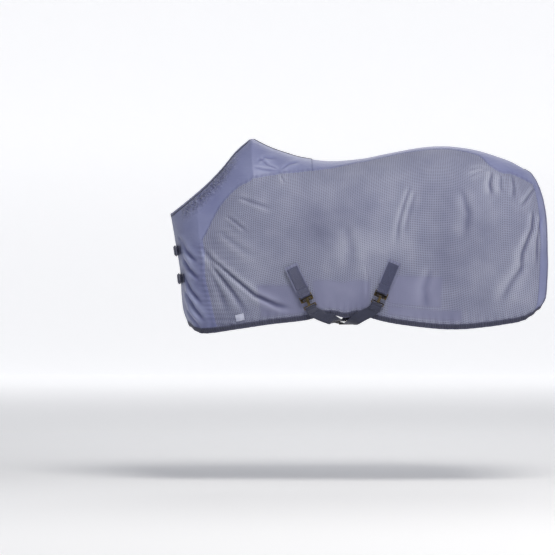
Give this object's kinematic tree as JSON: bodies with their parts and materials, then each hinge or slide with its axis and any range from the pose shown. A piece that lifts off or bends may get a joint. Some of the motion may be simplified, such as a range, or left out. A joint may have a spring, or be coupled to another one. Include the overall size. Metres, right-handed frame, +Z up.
{
  "type": "horse fly sheet",
  "caption": "Horse fly sheet in mesh with smooth shoulders and topline, buckled at the chest, with crossed belly surcingles on T-hooks.",
  "frame": {"origin": "where the sheet rests on the middle of the horse's back, on the mid-plane", "axes": "+X towards the tail, -Y the horse's left side, +Z up"},
  "size_m": [1.7376, 0.6071, 0.9066],
  "materials": {
    "polyester_mesh": "woven mesh",
    "smooth_polyester": "satin weave",
    "binding_tape": "woven tape",
    "navy_tape": "woven tape",
    "lining": "brushed lining",
    "label": "woven label, blank",
    "navy_webbing": "polypropylene webbing",
    "antique_brass": "antique finish"
  },
  "bodies": {
    "sheet": {"shoulder_panel_left": "smooth_polyester", "shoulder_panel_right": "smooth_polyester", "mesh_panel_left": "polyester_mesh", "mesh_panel_right": "polyester_mesh", "mesh_quarter_left": "polyester_mesh", "mesh_quarter_right": "polyester_mesh", "topline_panel": "smooth_polyester", "withers_piping": "navy_tape", "rear_band_left": "smooth_polyester", "rear_band_right": "smooth_polyester", "neck_binding": "binding_tape", "front_binding_left": "binding_tape", "front_binding_right": "binding_tape", "hem_binding_left": "navy_tape", "hem_binding_right": "navy_tape", "hem_facing_left": "lining", "hem_facing_right": "lining", "front_patch_left": "lining", "front_patch_right": "lining", "middle_patch_left": "lining", "middle_patch_right": "lining", "rear_patch_left": "lining", "rear_patch_right": "lining", "care_label": "label", "front_tab_backing": "binding_tape", "front_surcingle_tab": "navy_webbing", "front_belly_strap": "navy_webbing", "rear_tab_backing": "binding_tape", "rear_surcingle_tab": "navy_webbing", "rear_belly_strap": "navy_webbing", "upper_chest_tab": "navy_webbing", "upper_chest_buckle": "antique_brass", "upper_chest_strap": "navy_webbing", "lower_chest_tab": "navy_webbing", "lower_chest_buckle": "antique_brass", "lower_chest_strap": "navy_webbing"},
    "front_plate": {"front_slotted_plate": "antique_brass"},
    "front_hook": {"front_t_hook": "antique_brass"},
    "rear_plate": {"rear_slotted_plate": "antique_brass"},
    "rear_hook": {"rear_t_hook": "antique_brass"},
    "front_slider": {"front_strap_slider": "antique_brass"},
    "rear_slider": {"rear_strap_slider": "antique_brass"},
    "upper_prong": {"upper_chest_prong": "antique_brass"},
    "upper_keeper": {"upper_chest_keeper": "navy_webbing"},
    "lower_prong": {"lower_chest_prong": "antique_brass"},
    "lower_keeper": {"lower_chest_keeper": "navy_webbing"}
  },
  "joints": [
    {"name": "front_plate_swing", "type": "hinge", "parent": "sheet", "child": "front_plate", "pos_m": [-0.246, -0.2695, -0.633], "axis": [-0.9012, -0.0517, -0.4304], "range_deg": [0, 12]},
    {"name": "front_hook_swing", "type": "hinge", "parent": "front_plate", "child": "front_hook", "pos_m": [-0.2383, -0.26854, -0.64924], "axis": [-0.9012, -0.0517, -0.4304], "range_deg": [-18, 0]},
    {"name": "rear_plate_swing", "type": "hinge", "parent": "sheet", "child": "rear_plate", "pos_m": [0.104, -0.2955, -0.617], "axis": [-0.9239, -0.02, 0.3822], "range_deg": [0, 12]},
    {"name": "rear_hook_swing", "type": "hinge", "parent": "rear_plate", "child": "rear_hook", "pos_m": [0.09711, -0.29463, -0.63361], "axis": [-0.9239, -0.02, 0.3822], "range_deg": [-18, 0]},
    {"name": "front_slider_shift", "type": "slide", "parent": "sheet", "child": "front_slider", "axis": [0.1226, 0.9924, -0.0058], "range_m": [-0.025, 0.045]},
    {"name": "rear_slider_shift", "type": "slide", "parent": "sheet", "child": "rear_slider", "axis": [-0.105, 0.9945, 0.0055], "range_m": [-0.025, 0.045]},
    {"name": "upper_prong_swing", "type": "hinge", "parent": "sheet", "child": "upper_prong", "pos_m": [-0.84484, -0.026, -0.42603], "axis": [0.1564, 0, -0.9877], "range_deg": [-12, 0]},
    {"name": "upper_keeper_shift", "type": "hinge", "parent": "sheet", "child": "upper_keeper", "pos_m": [-0.59496, 0, -0.38646], "axis": [-0.1564, 0, 0.9877], "range_deg": [-2, 3.5]},
    {"name": "lower_prong_swing", "type": "hinge", "parent": "sheet", "child": "lower_prong", "pos_m": [-0.82842, -0.026, -0.55547], "axis": [0.1132, 0, -0.9936], "range_deg": [-12, 0]},
    {"name": "lower_keeper_shift", "type": "hinge", "parent": "sheet", "child": "lower_keeper", "pos_m": [-0.57704, 0, -0.52683], "axis": [-0.1132, 0, 0.9936], "range_deg": [-2, 3.5]}
  ],
  "couplings": [
    {"joint": "front_hook_swing", "follows": "front_plate_swing", "ratio": -1.45},
    {"joint": "rear_hook_swing", "follows": "rear_plate_swing", "ratio": -1.45}
  ]
}
